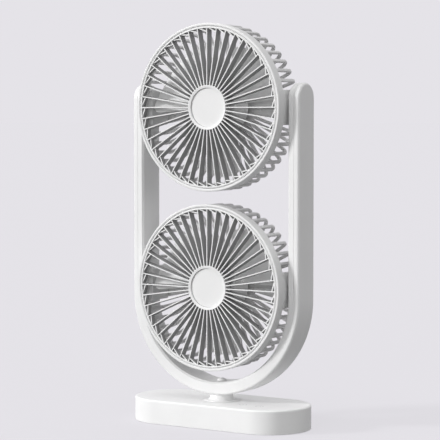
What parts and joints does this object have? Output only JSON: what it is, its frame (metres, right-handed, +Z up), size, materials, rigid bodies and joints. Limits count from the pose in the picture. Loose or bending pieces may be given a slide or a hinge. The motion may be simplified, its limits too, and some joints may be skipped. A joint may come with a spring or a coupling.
{
  "type": "dual-head desk fan",
  "caption": "White desk fan: two round caged fan heads, each tilting between the arms of a U-shaped frame that swivels on a flat stadium-shaped base with touch controls.",
  "frame": {"origin": "bottom centre of the base, on the surface it stands on", "axes": "+Z up, -Y towards the front grilles, +X to the right seen from the front"},
  "size_m": [0.1654, 0.07, 0.338],
  "materials": {
    "white_shell": "satin white moulded plastic",
    "cage_plastic": "white moulded plastic",
    "hub_cap": "fine satin white",
    "blade_plastic": "light grey smooth plastic",
    "grey_plastic": "textured grey plastic",
    "touch_print": "pale grey inlay",
    "rubber": "matt black rubber",
    "steel": "zinc plated",
    "bearing_plastic": "natural acetal",
    "cell_film": "foil pouch",
    "circuit_board": "solder mask",
    "copper_wire": "enamelled copper",
    "magnet": "bonded ferrite",
    "wire_jacket": "soft white wire jacket"
  },
  "bodies": {
    "base": {"base_shell": "white_shell", "base_bottom_plate": "grey_plastic", "rubber_feet": "rubber", "base_screws": "steel", "ballast_plate": "steel", "battery_cells": "cell_film", "control_board": "circuit_board", "charge_port": "steel", "touch_board": "circuit_board", "touch_marks": "touch_print", "swivel_bushing": "bearing_plastic", "slip_washer": "bearing_plastic"},
    "frame": {"frame_outer_shell": "white_shell", "frame_inner_shell": "white_shell", "neck_post": "white_shell", "neck_screw": "steel", "screw_plug": "white_shell", "swivel_keeper": "steel", "swivel_nut": "steel", "tilt_pins": "steel", "tilt_pin_nuts": "steel", "friction_washers": "rubber", "wire_harness": "wire_jacket"},
    "upper_head": {"upper_rear_cage": "cage_plastic", "upper_front_grille": "white_shell", "upper_hub_cap": "hub_cap", "upper_motor_board": "circuit_board", "upper_stator_core": "steel", "upper_stator_coils": "copper_wire", "upper_bearings": "steel", "upper_motor_lead": "wire_jacket"},
    "upper_rotor": {"upper_impeller": "blade_plastic", "upper_rotor_yoke": "steel", "upper_rotor_magnets": "magnet", "upper_motor_shaft": "steel"},
    "lower_head": {"lower_rear_cage": "cage_plastic", "lower_front_grille": "white_shell", "lower_hub_cap": "hub_cap", "lower_motor_board": "circuit_board", "lower_stator_core": "steel", "lower_stator_coils": "copper_wire", "lower_bearings": "steel", "lower_motor_lead": "wire_jacket"},
    "lower_rotor": {"lower_impeller": "blade_plastic", "lower_rotor_yoke": "steel", "lower_rotor_magnets": "magnet", "lower_motor_shaft": "steel"}
  },
  "joints": [
    {"name": "frame_swivel", "type": "hinge", "parent": "base", "child": "frame", "pos_m": [0, 0, 0.0204], "axis": [0, 0, 1], "range_deg": [-45, 45]},
    {"name": "upper_tilt", "type": "hinge", "parent": "frame", "child": "upper_head", "pos_m": [0, 0, 0.26805], "axis": [1, 0, 0], "range_deg": [-90, 90]},
    {"name": "upper_spin", "type": "hinge", "parent": "upper_head", "child": "upper_rotor", "pos_m": [0, 0, 0.26805], "axis": [0, 1, 0], "continuous": true},
    {"name": "lower_tilt", "type": "hinge", "parent": "frame", "child": "lower_head", "pos_m": [0, 0, 0.1174], "axis": [1, 0, 0], "range_deg": [-90, 90]},
    {"name": "lower_spin", "type": "hinge", "parent": "lower_head", "child": "lower_rotor", "pos_m": [0, 0, 0.1174], "axis": [0, 1, 0], "continuous": true}
  ]
}
